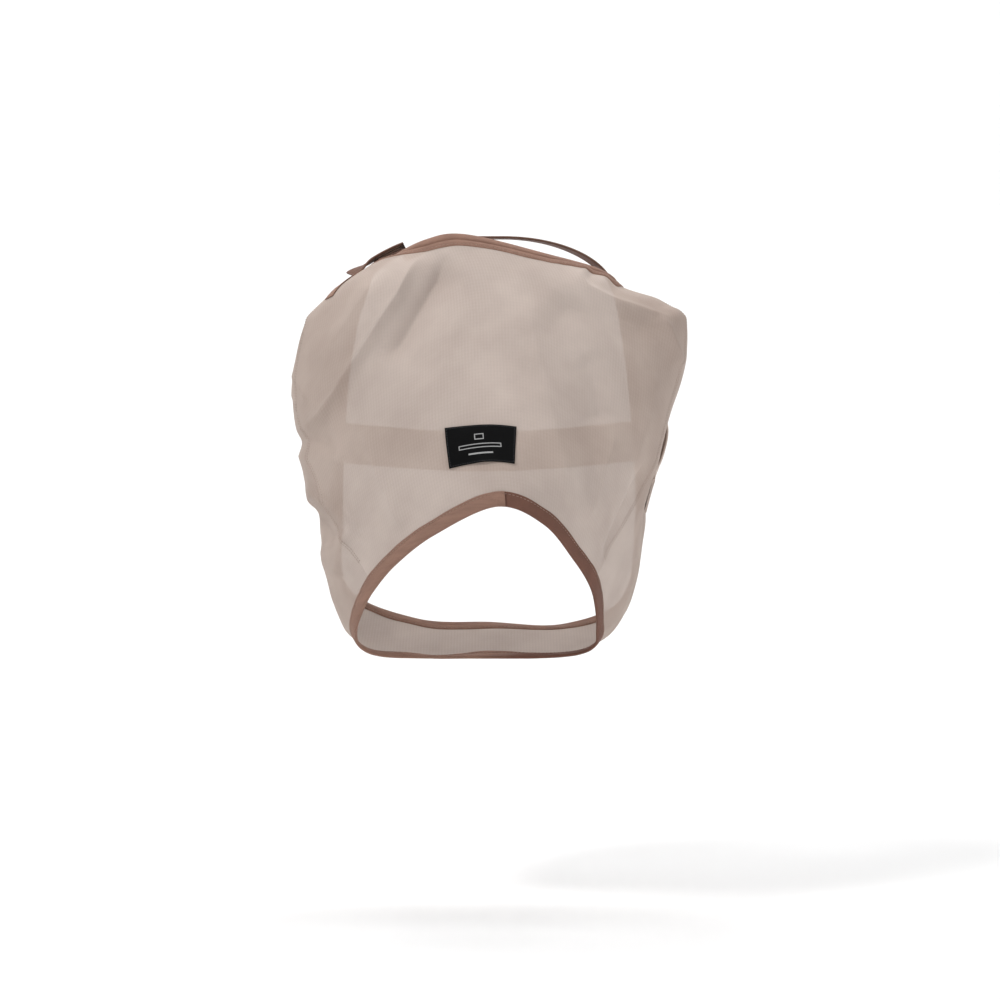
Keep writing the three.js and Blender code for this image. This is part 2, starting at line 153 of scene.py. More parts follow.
# What the cloth does as worn. Each fold runs along a line seen from the front: rise lifts it, left and right
# are how wide it is on each side of the line's direction, and lean pushes its crest sideways.
folds = dict(
    shoulderLobe=dict(
        line=[(-58, -10), (-67, -27), (-82, -58), (-103, -91), (-121, -119), (-135, -143), (-149, -161),
              (-166, -172), (-184, -180)], rise=15, left=6, right=40, lean=5),
    lobeHollow=dict(line=[(-38, -16), (-48, -36), (-62, -60), (-80, -90), (-100, -118)],
                    rise=-12, left=22, right=6),
    lobeInner=dict(line=[(-92, -38), (-112, -68), (-138, -104), (-158, -128)], rise=3.5, left=10, right=12),
    lobeEnd=dict(line=[(-200, -192), (-166, -186), (-136, -190)], rise=-5, left=9, right=12),
    jowlCreaseA=dict(line=[(-190, -200), (-160, -202), (-128, -206)], rise=3, left=6, right=8),
    jowlCreaseB=dict(line=[(-170, -222), (-159, -234), (-138, -248), (-112, -273)], rise=6, left=5, right=13),
    jowlCreaseC=dict(line=[(-126, -262), (-136, -288), (-143, -312)], rise=5, left=8, right=10),
    jowlPinch=dict(line=[(-176, -250), (-154, -266), (-142, -282)], rise=-7, left=14, right=14),
    rightDartRidge=dict(line=[(66, -24), (88, -48), (118, -61), (174, -77)], rise=5, left=4, right=9),
    rightDartPlane=dict(line=[(54, -50), (72, -64), (112, -74), (160, -92)], rise=-6, left=9, right=20),
    shoulderDip=dict(line=[(104, -34), (134, -46), (176, -66)], rise=-6, left=13, right=13),
    browBunch=dict(line=[(58, -16), (78, -24), (92, -38)], rise=4, left=6, right=8),
    rightWrinkle=dict(line=[(150, -72), (162, -84), (169, -100), (176, -120)], rise=5, left=4, right=6),
    rightFall=dict(line=[(142, -198), (130, -227), (114, -265), (99, -302)], rise=-6, left=16, right=5),
    rightCheek=dict(line=[(150, -120), (140, -170), (120, -228)], rise=5, left=16, right=14),
    foreheadLeft=dict(line=[(-18, -20), (-34, -90), (-54, -160), (-66, -220)], rise=3, left=18, right=20),
    foreheadRight=dict(line=[(26, -40), (42, -110), (60, -190), (80, -268)], rise=5, left=14, right=22),
    eyeHollow=dict(line=[(84, -104), (98, -140), (102, -176)], rise=-5, left=18, right=16),
    noseTensionLeft=dict(line=[(-112, -170), (-103, -203), (-92, -228), (-76, -270)],
                         rise=5, left=8, right=9),
    noseTensionRight=dict(line=[(112, -170), (98, -220), (84, -262)], rise=4, left=9, right=9))
drape = dict(sharpness=1.4, fade=0.22, crestFade=0.25, crestAt=-4, crestWide=7, heldAtNose=0.35,
             heldAtHead=0.25, frontFrom=0.45, frontOver=0.5, ripple=1.1)
cornerPull = dict(right=(178, -50, -74), left=(-163, -50, -76), reach=8, out=(2.5, 0, 1))


# 1 along a line's middle, smoothly 0 at either end
def fadeEnds(share, fade):
    return smooth(share / fade) * smooth((1 - share) / fade)


# The cloth as worn, in millimetres: the smooth shape, moved along its normal by every fold's profile (one
# bell curve on each side of the line, faded at its ends) and by a ripple of crossed sines, and pulled out
# at the shoulder corners
def draped(u, v):
    base = shape(u, v)
    step = 0.01
    normal = unit(np.cross(shape(u + step, v) - shape(u - step, v),
                           shape(u, np.minimum(v + step, headEdge)) - shape(u, np.maximum(v - step, 0))))
    x, z = base[..., 0], base[..., 2]
    lift = np.zeros(x.shape)
    slide = np.zeros(base.shape)
    front = smooth((drape["frontFrom"] - normal[..., 1]) / drape["frontOver"])
    held = smooth(v / drape["heldAtNose"]) * smooth((headEdge - v) / drape["heldAtHead"])
    for fold in folds.values():
        away, share = alongLine(x, z, fold["line"])
        wide = np.where(away > 0, fold["left"], fold["right"])
        bell = np.exp(-np.abs(away / wide)**drape["sharpness"]) * fadeEnds(share, drape["fade"])
        lift += fold["rise"] * bell * front
        if "lean" in fold:
            start, end = np.array(fold["line"][0]), np.array(fold["line"][-1])
            run = (end - start) / np.linalg.norm(end - start)
            crest = np.exp(-((away - drape["crestAt"]) / drape["crestWide"])**2)
            crest = crest * fadeEnds(share, drape["crestFade"]) * front
            slide[..., 0] += -run[1] * fold["lean"] * crest
            slide[..., 2] += run[0] * fold["lean"] * crest
    ripple = (np.sin(x * 0.043 + z * 0.021 + 1.3) * np.sin(z * 0.037 - base[..., 1] * 0.03)
              + 0.5 * np.sin(x * 0.11 - z * 0.06) * np.sin(z * 0.085 + base[..., 1] * 0.05 + 2))
    lift += drape["ripple"] * ripple
    moved = base + normal * (lift * held)[..., None] + slide * held[..., None]
    for name, sign in (("right", 1), ("left", -1)):
        gap = np.linalg.norm(base - np.array(cornerPull[name]), axis=-1)
        pull = np.exp(-gap / cornerPull["reach"])[..., None]
        moved = moved + pull * np.array(cornerPull["out"]) * np.array([sign, 1, 1])
    return moved


# Fitted to the frame: the pattern is graded to the size of the CAD's panels
panelNodes = ("face_panel", "side_panel_left", "side_panel_right", "jaw_panel")
panelBoxes = np.array([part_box(node) for node in panelNodes])
plain = shape(np.linspace(0, pattern["stations"], 109)[:, None], np.linspace(0, headEdge, 25)[None]) * mm
grade = (panelBoxes[:, 1].max(0) - panelBoxes[:, 0].min(0)) / (plain.max((0, 1)) - plain.min((0, 1)))
print("stage: pattern graded by", np.round(grade, 3))


# A point of the cloth in metres, raised from it by height in millimetres; past an edge it goes on straight
def cloth(u, v, height=0.0):
    u, v = np.broadcast_arrays(np.asarray(u, float), np.asarray(v, float))
    inside = np.clip(v, 0, headEdge)
    step = 0.012
    point = draped(u, inside)
    low, high = np.clip(inside - step, 0, headEdge), np.clip(inside + step, 0, headEdge)
    along = (draped(u, high) - draped(u, low)) / (high - low)[..., None]
    normal = unit(np.cross(draped(u + step, inside) - draped(u - step, inside), along))
    point = point + along * (v - inside)[..., None]
    return (point + normal * np.asarray(height, float)[..., None]) * mm * grade


# Millimetres of cloth for each ring at an edge, over the last 0.4 of a ring
def perRing(u, edge):
    inner = abs(edge - 0.4)
    return np.linalg.norm(shape(u, edge) - shape(u, inner), axis=-1) / 0.4


# Millimetres of cloth for each station, over 0.2 of a station
def perStation(u, v):
    return np.linalg.norm(shape(u + 0.1, v) - shape(u - 0.1, v), axis=-1) / 0.2


# Meshes. A skin is a grid of points with its faces turned out; a loft is a row of closed outlines with
# an end face on each end. Both carry a map in metres along the cloth.
def makeObject(name, points, faces, mapUV=None):
    mesh = bpy.data.meshes.new(name)
    mesh.from_pydata(np.asarray(points).reshape(-1, 3).tolist(), [], faces)
    if mapUV is not None:
        layer = mesh.uv_layers.new(name="clothMap")
        corner = np.zeros(len(mesh.loops), dtype=np.int32)
        mesh.loops.foreach_get("vertex_index", corner)
        layer.data.foreach_set("uv", np.asarray(mapUV).reshape(-1, 2)[corner].ravel().astype(np.float32))
    mesh.polygons.foreach_set("use_smooth", np.ones(len(mesh.polygons), dtype=bool))
    mesh.update()
    piece = bpy.data.objects.new(name, mesh)
    bpy.context.scene.collection.objects.link(piece)
    return piece


# Four-sided faces between neighbours on a grid of points, row by row
def gridFaces(rows, cols, closedCols=False):
    i, j = np.meshgrid(np.arange(rows - 1), np.arange(cols if closedCols else cols - 1), indexing="ij")
    k = (j + 1) % cols
    return np.stack([i * cols + j, (i + 1) * cols + j, (i + 1) * cols + k, i * cols + k], -1).reshape(-1, 4)


# Distance travelled from the first point, summed along an axis
def travel(points, axis):
    steps = np.linalg.norm(np.diff(points, axis=axis), axis=-1)
    first = np.zeros_like(np.take(steps, [0], axis=axis))
    return np.concatenate([first, np.cumsum(steps, axis=axis)], axis=axis)


def makeSkin(name, points):
    mapUV = np.stack([travel(points, 0), travel(points, 1)], -1)
    mapUV[..., 0] -= mapUV[points.shape[0] // 2, :, 0]
    return makeObject(name, points, gridFaces(*points.shape[:2]).tolist(), mapUV)


# The sign of the volume within the faces says whether they are turned out
def makeLoft(name, outlines):
    rows, cols = outlines.shape[:2]
    faces = gridFaces(rows, cols, closedCols=True)
    corners = outlines.reshape(-1, 3)[faces]
    volume = np.einsum("ij,ij->i", corners[:, 0], np.cross(corners[:, 1], corners[:, 2])).sum()
    ends = [list(range(cols - 1, -1, -1)), list(range((rows - 1) * cols, rows * cols))]
    if volume < 0:
        faces = faces[:, ::-1]
        ends = [end[::-1] for end in ends]
    around = travel(np.concatenate([outlines, outlines[:, :1]], 1), 1)[:, :cols]
    mapUV = np.stack([travel(outlines, 0), around], -1)
    return makeObject(name, outlines, faces.tolist() + ends, mapUV)


# A strip's outline: across from edge to edge and round, a flat oval with a raised selvedge near each edge
def stripOutline(width, thickness, selvedge=0.12):
    half = width / 2
    across = np.array([-1, -0.985, -0.95, -0.86, -0.6, -0.3, 0, 0.3, 0.6, 0.86, 0.95, 0.985, 1])
    height = np.array([0, 0.34, 0.5, 0.5 + selvedge, 0.5, 0.5, 0.5, 0.5, 0.5, 0.5 + selvedge, 0.5, 0.34, 0])
    top = np.stack([across * half, height * thickness], 1)
    under = np.stack([across[::-1] * half, -height[::-1] * thickness], 1)[1:-1]
    return np.concatenate([top, under])


# What every piece is told: the nodes it stands for and the body it rides on
def settle(piece, body=None, nodes=()):
    if nodes:
        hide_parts(*nodes)
    if body:
        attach(piece, body)
    return piece


# Points along a Catmull-Rom curve through the given ones, so many to each stretch
def smoothLine(points, steps):
    points = np.asarray(points, float)
    padded = np.concatenate([[2 * points[0] - points[1]], points, [2 * points[-1] - points[-2]]])
    t = np.linspace(0, len(points) - 1, (len(points) - 1) * steps + 1)
    low = np.clip(np.floor(t).astype(int), 0, len(points) - 2)
    weights = curveWeights(t - low)
    return sum(weights[k][:, None] * padded[low + k] for k in range(4))


# The mesh panels: skins of the cloth between seams
panels = dict(
    facePanel=dict(replaces="face_panel", stations=(-3, 3), steps=(300, 150)),
    sidePanelRight=dict(replaces="side_panel_right", stations=(3, 7), steps=(150, 130)),
    jawPanel=dict(replaces="jaw_panel", stations=(7, 11), steps=(120, 40)),
    sidePanelLeft=dict(replaces="side_panel_left", stations=(11, 15), steps=(150, 130)))


def makePanel(name, p):
    u, v = np.meshgrid(np.linspace(*p["stations"], p["steps"][0] + 1),
                       np.linspace(0.02, headEdge - 0.01, p["steps"][1] + 1), indexing="ij")
    return settle(makeSkin(name, cloth(u, v)), "hood", [p["replaces"]])


panelPieces = {name: makePanel(name, p) for name, p in panels.items()}
print("stage: mesh panels draped")

# The folded tapes: an outline from the outer leg's end to the fold, in millimetres, across the tape from the
# cloth's edge inwards, and up from the cloth. It dips where the stitches pull it down, and the inner leg
# mirrors it. A tape wanders by a few sines of the station: how many turns, from where, and how far.
tapes = dict(
    wander=((5.1, 0, 0.25), (11.7, 1, 0.12)), wavy=0.12, lapHeight=1.9,
    outline=[(12.2, 0.3), (11.9, 0.75), (11.0, 0.95), (10.1, 0.72), (9.0, 1.1), (6.9, 1.45), (6.2, 1.45),
             (5.6, 1.5), (5.0, 1.5), (4.3, 1.5), (3.0, 1.6), (0.3, 1.5), (-0.9, 1.05), (-1.5, 0.0)],
    crease=dict(browBinding=1.5), creaseAt=5.6, creaseWide=0.75,
    stitchAcross=10.1, stitchHeight=1.0, stitchEvery=3.6,
    runs=dict(
        noseBinding=dict(replaces="nose_binding", stations=(0.03, 18.15), edge=0.0, steps=420, lap=0.12),
        browBinding=dict(replaces="brow_binding", stations=(-3.0, 3.0), edge=headEdge, steps=180),
        rearBindingRight=dict(replaces="rear_binding_right", stations=(3.0, 7.0), edge=headEdge, steps=150),
        jawBinding=dict(replaces="jaw_binding", stations=(7.0, 11.0), edge=headEdge, steps=130),
        rearBindingLeft=dict(replaces="rear_binding_left", stations=(11.0, 15.0), edge=headEdge, steps=150)))


# A point by an edge: across it inwards in millimetres, and up from the cloth
def byEdge(u, edge, across, height):
    inwards = 1 if edge == 0 else -1
    return cloth(u, edge + inwards * across / perRing(u, edge), height)


def makeTape(name, p):
    half = np.array(tapes["outline"])
    crease = np.exp(-((half[:, 0] - tapes["creaseAt"]) / tapes["creaseWide"])**2)
    half[:, 1] -= tapes["crease"].get(name, 0) * crease
    outline = np.concatenate([half, (half[:-1] * [1, -1])[::-1]])
    u = np.linspace(*p["stations"], p["steps"] + 1)[:, None]
    wanderAndShade = sum(np.sin(u * turns + start) * size for turns, start, size in tapes["wander"])
    raised = 0
    if "lap" in p:  # the tape's end lies over its start
        over = smooth((u - (p["stations"][1] - p["lap"] * 2.2)) / p["lap"])
        raised = tapes["lapHeight"] * over * np.sign(outline[:, 1])[None]
    across = outline[:, 0][None] + wanderAndShade * (outline[:, 0] > 2)[None]
    height = outline[:, 1][None] * (1 + tapes["wavy"] * wanderAndShade) + raised
    points = byEdge(u, p["edge"], across, height)
    return settle(makeLoft(name, points), "hood", [p["replaces"]])


tapePieces = {name: makeTape(name, p) for name, p in tapes["runs"].items()}

# The tapes at the shoulder corners, cut square: the right one lies under its seam, and the left one lies on
# the cloth in front of its seam
dartTapes = dict(width=10, length=50, thickness=0.7, start=11,
                 runs=dict(dartTapeRight=dict(replaces="dart_tape_right", station=3.0, height=-1.3),
                           dartTapeLeft=dict(replaces="dart_tape_left", station=15.4, height=0.85)))


def makeDartTape(name, p):
    wide = dartTapes["width"] / perStation(p["station"], 3.6)
    distance = np.linspace(dartTapes["start"], dartTapes["start"] + dartTapes["length"], 40)[:, None]
    v = headEdge - distance / perRing(p["station"], headEdge)
    outline = stripOutline(1, 1)
    u = p["station"] + outline[:, 0][None] * wide
    points = cloth(u, v, p["height"] + outline[:, 1][None] * dartTapes["thickness"])
    return settle(makeLoft(name, points), "hood", [p["replaces"]])


dartPieces = [makeDartTape(name, p) for name, p in dartTapes["runs"].items()]
print("stage: tapes folded round the edges")

# Straps, as in the frame, in millimetres. The poll strap arches over the poll to each ear's base and its tab
# opens at the fold on the left; the throat strap hangs between the jowls and its tab opens on the right.
straps = dict(
    thickness=1.8, pad=1.2, gap=0.6, clearTape=2.5,
    pollWidth=25, pollSeat=24, pollFold=math.radians(40), pollEnd=math.radians(84), pollTab=54, pollPad=24,
    pollRoll=math.radians(26), padMargin=4, fold=1.6,
    throatWidth=38, throatBow=32, throatSag=10, throatTab=78, throatAnchor=34, throatPad=46,
    throatRise=1.6e-4, throatFold=3, tapeLeg=12)
tabUnder = -(2 * straps["pad"] + 3 * straps["gap"])
pollLift = straps["thickness"] - tabUnder


# The two edge points of the poll strap at an ear's base, in metres
def earBase(side):
    u = 3.0 if side > 0 else 15.0
    wide = side * straps["pollWidth"] / perStation(u + side * 0.2, headEdge)
    return [byEdge(s, headEdge, -straps["clearTape"] - straps["gap"], 0.0) for s in (u, u + wide)]


# The poll strap's edge points at angles down its quarter arch: x by the sine, y and z by one less the cosine
def archEdges(side, angles, lift=0.0):
    angles = np.asarray(angles, float)[:, None]
    seat = np.array([side * straps["pollSeat"] / 2 * mm, 0, 0])
    edges = []
    for base, start in zip(earBase(side), (-1, 1)):
        top = seat + np.array([0, start * straps["pollWidth"] / 2 * mm, 0])
        sine, drop = np.sin(angles), 1 - np.cos(angles)
        edges.append(top + (base - top) * np.concatenate([sine, drop, drop], 1))
    middle = (edges[0] + edges[1]) / 2
    if len(middle) > 1:
        along = np.gradient(middle, axis=0)
    else:
        ahead = archEdges(side, [angles[0, 0], angles[0, 0] + 0.01])[:2]
        along = np.diff((ahead[0] + ahead[1]) / 2, axis=0)
    face = unit(np.cross(along, edges[1] - edges[0])) * side
    face = np.where(np.abs(angles) < 1e-6, np.array([0.0, 0, 1]), face)
    lift = np.broadcast_to(np.asarray(lift, float).reshape(-1, 1), (len(middle), 1)) * mm
    return edges[0] + face * lift, edges[1] + face * lift, face


# The tab's edge points past the poll's fold, at distances in millimetres: it droops by the square of the
# distance over the ear's base, and past its pads it rolls about its length
def tabEdges(distance):
    front, back, face = [a[0] for a in archEdges(-1, [straps["pollFold"]], pollLift)]
    across = unit(back - front)
    away = np.cross(face, across)
    distance = np.asarray(distance, float)[:, None]
    flat = straps["pollPad"] + 2 * straps["padMargin"] + straps["fold"]
    roll = straps["pollRoll"] * smooth((distance - flat) / (straps["pollTab"] + straps["fold"] - flat))
    centre = (front + back) / 2 + (away * distance - face * 0.003 * distance**2) * mm
    lean = np.arctan(0.006 * distance)
    tilted = face * np.cos(lean) + away * np.sin(lean)
    wanderAndShade = across * np.cos(roll) + tilted * np.sin(roll)
    half = wanderAndShade * straps["pollWidth"] / 2 * mm
    return centre - half, centre + half, unit(np.cross(wanderAndShade, away * np.cos(lean) - face * np.sin(lean)))


# A strip between two edge lines, raised from them by low millimetres along its own face
def makeStrap(name, front, back, face, low, thickness, selvedge=0.12):
    across = back - front
    outline = stripOutline(1.0, 1.0, selvedge)
    centre = (front + back) / 2 + face * (low + thickness / 2) * mm
    outlines = centre[:, None] + across[:, None] * outline[:, 0][None, :, None]
    outlines = outlines + face[:, None] * (outline[:, 1] * thickness * mm)[None, :, None]
    return makeLoft(name, outlines)


# Webbing of the straps' own thickness, half of it on each side of its edge lines
def makeWebbing(name, front, back, face):
    return makeStrap(name, front, back, face, -straps["thickness"] / 2, straps["thickness"])


# A strip's face directions, square to both its width and its length, on the side that is named
def faceOf(front, back, towards):
    along = np.gradient((front + back) / 2, axis=0)
    face = unit(np.cross(along, back - front))
    return face * np.sign((face * towards).sum(-1, keepdims=True))


# The poll strap with its tab: from the tab's free end over the poll to its sewn end inside the right rim
def makePollStrap():
    tab = tabEdges(np.linspace(straps["fold"], straps["pollTab"] + straps["fold"], 30)[::-1])
    leftAngles = np.linspace(straps["pollFold"], 0, 26)
    lift = pollLift * smooth((leftAngles - straps["pollFold"] / 4) / (straps["pollFold"] * 0.75))
    left = archEdges(-1, leftAngles, lift)
    right = archEdges(1, np.linspace(0, straps["pollEnd"], 44))
    u = 3.0 + np.array([0.0, straps["pollWidth"] / perStation(3.2, headEdge)])
    tucked = [byEdge(s, headEdge, np.linspace(1, 15, 6), -3.0) for s in u]
    front, back = [np.concatenate([tab[k], left[k], right[k], tucked[k]]) for k in (0, 1)]
    face = np.concatenate([tab[2], left[2], right[2], faceOf(*tucked, right[2][-1])])
    face[30:-8] = faceOf(front, back, face)[30:-8]
    piece = settle(makeStrap("pollStrap", front, back, face, 0, straps["thickness"]),
                   nodes=["poll_strap", "poll_tab"])
    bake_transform(piece)
    return piece


pollStrap = makePollStrap()


# The pads under the tab, a little narrower than it
def makePollPad(name, node, body, low, thickness, width=0.94):
    front, back, face = tabEdges(padSpan)
    middle = (front + back) / 2
    piece = makeStrap(name, middle + (front - middle) * width, middle + (back - middle) * width, face, low,
                      thickness, 0.0)
    return settle(piece, body, [node])


padSpan = np.linspace(straps["fold"] + straps["padMargin"],
                      straps["fold"] + straps["padMargin"] + straps["pollPad"], 16)
hookUnder = -straps["gap"] - straps["pad"]
loopUnder = hookUnder - straps["gap"] - straps["pad"]
pollPads = [
    makePollPad("pollHookPad", "poll_hook_pad", "poll_flap", hookUnder, straps["pad"] + straps["gap"] * 0.8),
    makePollPad("pollLoopPad", "poll_loop_pad", "hood", loopUnder - straps["gap"] * 0.5,
                straps["pad"] + straps["gap"] * 0.5)]


# The tail under the pads: from the tab's underside on a smooth line down into the rim at the ear's base
headMiddle = np.array([0, 0.0, -0.16])


def makePollTail():
    under = tabEdges(np.linspace(straps["fold"] + 2, straps["fold"] + straps["pollPad"] + 8, 12))
    wide = straps["pollWidth"] / perStation(14.8, headEdge)
    tucked = [byEdge(s, headEdge, np.linspace(2, 14, 5), -3.0) for s in (15.0, 15.0 - wide)]
    low = tabUnder - straps["thickness"] / 2
    held = [line[[0, 6, 11]] for line in under]
    front, back = [smoothLine(np.concatenate([held[k] + held[2] * low * mm, tucked[k]]), 8) for k in (0, 1)]
    piece = makeWebbing("pollTail", front, back, faceOf(front, back, unit(front - headMiddle)))
    return settle(piece, "hood", ["poll_tail"])


pollTail = makePollTail()
print("stage: poll strap sewn")


# Points on the jowl by the head edge: station lines a strap's width apart, at distances in from the edge,
# rising by the square of the distance
def onJowl(u, width, distance, height, rise=0.0):
    distance = np.asarray(distance, float)
    reach = perRing(u, headEdge)
    half = width / 2 / perStation(u, np.minimum(headEdge - distance / reach, headEdge))
    middle = u - rise * np.clip(distance, 0, None)**2
    return [cloth(middle + s * half, headEdge - distance / reach, height) for s in (1, -1)]


# Heights in millimetres of the throat strap's layers over the cloth, and how far past the edge it folds
layers = dict(anchor=straps["clearTape"] - 0.4, loop=0.7, hook=2.1, tab=3.7, pad=1.4)
foldPast = -(2.5 + straps["throatFold"] / 2)
rightJowl, leftJowl = 5.0, 13.0


# The throat strap's two edges between the folds: straight, bowed back and sagged by a sine of the share
def throatEdges(share):
    left = onJowl(leftJowl, straps["throatWidth"], [foldPast], layers["anchor"] + straps["thickness"] / 2)
    right = onJowl(rightJowl, straps["throatWidth"], [foldPast], layers["tab"] + straps["thickness"] / 2)
    bow = np.sin(np.pi * share)[:, None]
    swing = np.concatenate([bow * 0, bow * straps["throatBow"], -bow * straps["throatSag"]], 1) * mm
    pairs = ((left[1], right[0]), (left[0], right[1]))
    return [a + (b - a) * share[:, None] + swing for a, b in pairs]


throatBreak = 0.14  # the share of the way across where the anchor's webbing meets the strap's


# The anchor lies on the left jowl, folds at its edge and hangs on as the strap's first stretch
def makeThroatAnchor():
    distance = np.linspace(straps["throatAnchor"], foldPast + 1.5, 16)
    laid = onJowl(leftJowl, straps["throatWidth"], distance, layers["anchor"] + straps["thickness"] / 2)[::-1]
    hanging = throatEdges(np.linspace(0.012, throatBreak, 14))
    front, back = [np.concatenate(lines) for lines in zip(laid, hanging)]
    face = faceOf(front, back, np.array([-0.7, 0.7, 0]))
    piece = settle(makeWebbing("throatAnchor", front, back, face), nodes=["throat_anchor"])
    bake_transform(piece)
    return piece


# The strap hangs across to the right jowl, folds at its edge and lies on as the tab, whose free end drops
# past the pads onto the cloth
tabEnd = dict(dropFrom=62, dropOver=12, drop=3.2)


def makeThroatStrap():
    hanging = throatEdges(np.linspace(throatBreak, 0.988, 70))
    distance = np.linspace(foldPast + 1.5, straps["throatTab"], 40)
    drop = tabEnd["drop"] * smooth((distance - tabEnd["dropFrom"]) / tabEnd["dropOver"])
    height = layers["tab"] - drop + straps["thickness"] / 2
    laid = onJowl(rightJowl, straps["throatWidth"], distance, height, straps["throatRise"])
    front, back = [np.concatenate(lines) for lines in zip(hanging, laid)]
    face = faceOf(front, back, unit((front + back) / 2 * [1, 1, 0]))
    piece = settle(makeWebbing("throatStrap", front, back, face),
                   nodes=["throat_strap", "throat_tab"])
    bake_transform(piece)
    return piece


throatAnchor = makeThroatAnchor()
throatStrap = makeThroatStrap()


# Where the throat tab's pads lie: the edge points of a strip in from both of the tab's edges
def padEdges(rows, height):
    start = straps["tapeLeg"] + straps["padMargin"]
    distance = np.linspace(start, start + straps["throatPad"], rows)
    width = straps["throatWidth"] - 2 * straps["padMargin"]
    return onJowl(rightJowl, width, distance, height, straps["throatRise"])


def makeThroatPad(name, node, body, low):
    front, back = padEdges(26, low)
    piece = makeStrap(name, front, back, faceOf(front, back, np.array([1.0, 0.3, 0])), 0, layers["pad"], 0.0)
    return settle(piece, body, [node])


throatPads = [makeThroatPad("throatHookPad", "throat_hook_pad", "throat_flap", layers["hook"] + 0.2),
              makeThroatPad("throatLoopPad", "throat_loop_pad", "hood", layers["loop"])]
print("stage: throat strap sewn")

# The label: a woven strip laid over the bridge of the nose, tilted
label = dict(width=60, height=34, at=(-0.12, 0.78), tilt=math.radians(2.6), thickness=0.7, low=0.5,
             curl=1.4, sewnIn=1.3, steps=60)


# A point by millimetres across and down from the label's middle, raised from the cloth by height
def labelPoint(across, down, height):
    lean = math.tan(label["tilt"])
    perV = np.linalg.norm(shape(0, 0.9) - shape(0, 0.4), axis=-1) / 0.5
    u = label["at"][0] + (across + down * lean) / perStation(*map(np.array, label["at"]))
    return cloth(u, label["at"][1] + (down - across * lean) / perV, height)


# Its lower edge lifts a little, most in the middle and at the corners, by the square of a cosine
def labelCurl(across, down):
    lowerEdge = smooth((-down / label["height"] - 0.2) / 0.3)
    return label["curl"] * lowerEdge * np.cos(across / label["width"] * 5)**2


def makeLabel():
    across = np.linspace(-0.5, 0.5, label["steps"] + 1)[:, None] * label["width"]
    outline = stripOutline(label["height"], label["thickness"], 0.0)
    height = label["low"] + label["thickness"] / 2 + outline[:, 1][None] + labelCurl(across, outline[:, 0])
    piece = makeLoft("wovenLabel", labelPoint(across, outline[:, 0][None], height))
    return settle(piece, "hood", ["woven_label"])


wovenLabel = makeLabel()

# Stitches: short rods of thread laid along a line, all from one small rod turned into place
thread = dict(length=2.5, radius=0.28, sides=6)


# One rod of unit size: three rings round its length, swollen in the middle, and a point at each end
def rodShape():
    rings = np.array([-0.8, 0.0, 0.8])
    swell = np.array([0.75, 1.0, 0.75])
    turn = np.linspace(0, 2 * np.pi, thread["sides"], endpoint=False)
    body = np.stack([np.repeat(rings[:, None], thread["sides"], 1),
                     swell[:, None] * np.cos(turn), swell[:, None] * np.sin(turn)], -1).reshape(-1, 3)
    points = np.concatenate([body, [[-1, 0, 0], [1, 0, 0]]])
    faces = gridFaces(3, thread["sides"], closedCols=True)[:, ::-1].tolist()
    n = thread["sides"]
    faces += [[3 * n, (k + 1) % n, k] for k in range(n)]
    faces += [[3 * n + 1, 2 * n + k, 2 * n + (k + 1) % n] for k in range(n)]
    return points, faces


# Each rod's long axis runs along the line and its thickness stands on the cloth, sunk by half into it
def makeStitches(name, body, centres, along, upward, length=None):
    points, faces = rodShape()
    along, upward = unit(along), unit(upward)
    sideways = np.cross(upward, along)
    size = np.array([(length or thread["length"]) / 2, thread["radius"], thread["radius"]]) * mm
    local = points * size
    placed = (centres[:, None] + local[None, :, :1] * along[:, None] + local[None, :, 1:2] * sideways[:, None]
              + local[None, :, 2:] * upward[:, None])
    offsets = (np.arange(len(centres)) * len(points))[:, None]
    allFaces = []
    for face in faces:
        allFaces += (np.array(face)[None] + offsets).tolist()
    return settle(makeObject(name, placed, allFaces), body)


# Stitches along an edge's tape, evenly spaced by the cloth's own length there
def tapeStitches(name, p, across, height):
    u = np.linspace(p["stations"][0] + 0.03, p["stations"][1] - 0.03, 900)
    line = byEdge(u, p["edge"], across, height)
    far = travel(line, 0)
    count = int(far[-1] / (tapes["stitchEvery"] * mm))
    places = np.interp((np.arange(count) + 0.5) * far[-1] / count, far, u)
    centres = byEdge(places, p["edge"], across, height)
    along = byEdge(places + 0.02, p["edge"], across, height) - centres
    upward = byEdge(places, p["edge"], across, height + np.sign(height)) - centres
    return makeStitches(name, "hood", centres, along, upward)


stitchPieces = [
    tapeStitches(runName + "Stitches" + sideName, run, tapes["stitchAcross"], sign * tapes["stitchHeight"])
    for runName, run in tapes["runs"].items() for sideName, sign in (("Outside", 1), ("Inside", -1))]


# The points, or directions, of a line at places given in the same measure as its own
def sample(places, measure, line):
    return np.stack([np.interp(places, measure, line[:, axis]) for axis in range(3)], 1)


# A row of stitches along a line of points, standing along given directions
def rowStitches(name, body, line, upward, every=3.0, length=2.0):
    far = travel(line, 0)
    count = max(int(far[-1] / (every * mm)), 1)
    at = (np.arange(count) + 0.5) * far[-1] / count
    centres = sample(at, far, line)
    along = sample(at + 0.4 * mm, far, line) - centres + 1e-9
    return makeStitches(name, body, centres, along, sample(at, far, upward), length)


# The label is sewn down all round, close to its edges
def labelStitches():
    half, tall = label["width"] / 2 - label["sewnIn"], label["height"] / 2 - label["sewnIn"]
    share = np.linspace(0, 4, 161)
    across = np.interp(share, range(5), [-half, half, half, -half, -half])
    down = np.interp(share, range(5), [tall, tall, -tall, -tall, tall])
    height = label["low"] + label["thickness"] + labelCurl(across, down)
    line = labelPoint(across, down, height)
    upward = labelPoint(across, down, height + 1) - line
    return rowStitches("labelStitches", "hood", line, upward, 2.2, 1.5)


labelThreads = labelStitches()
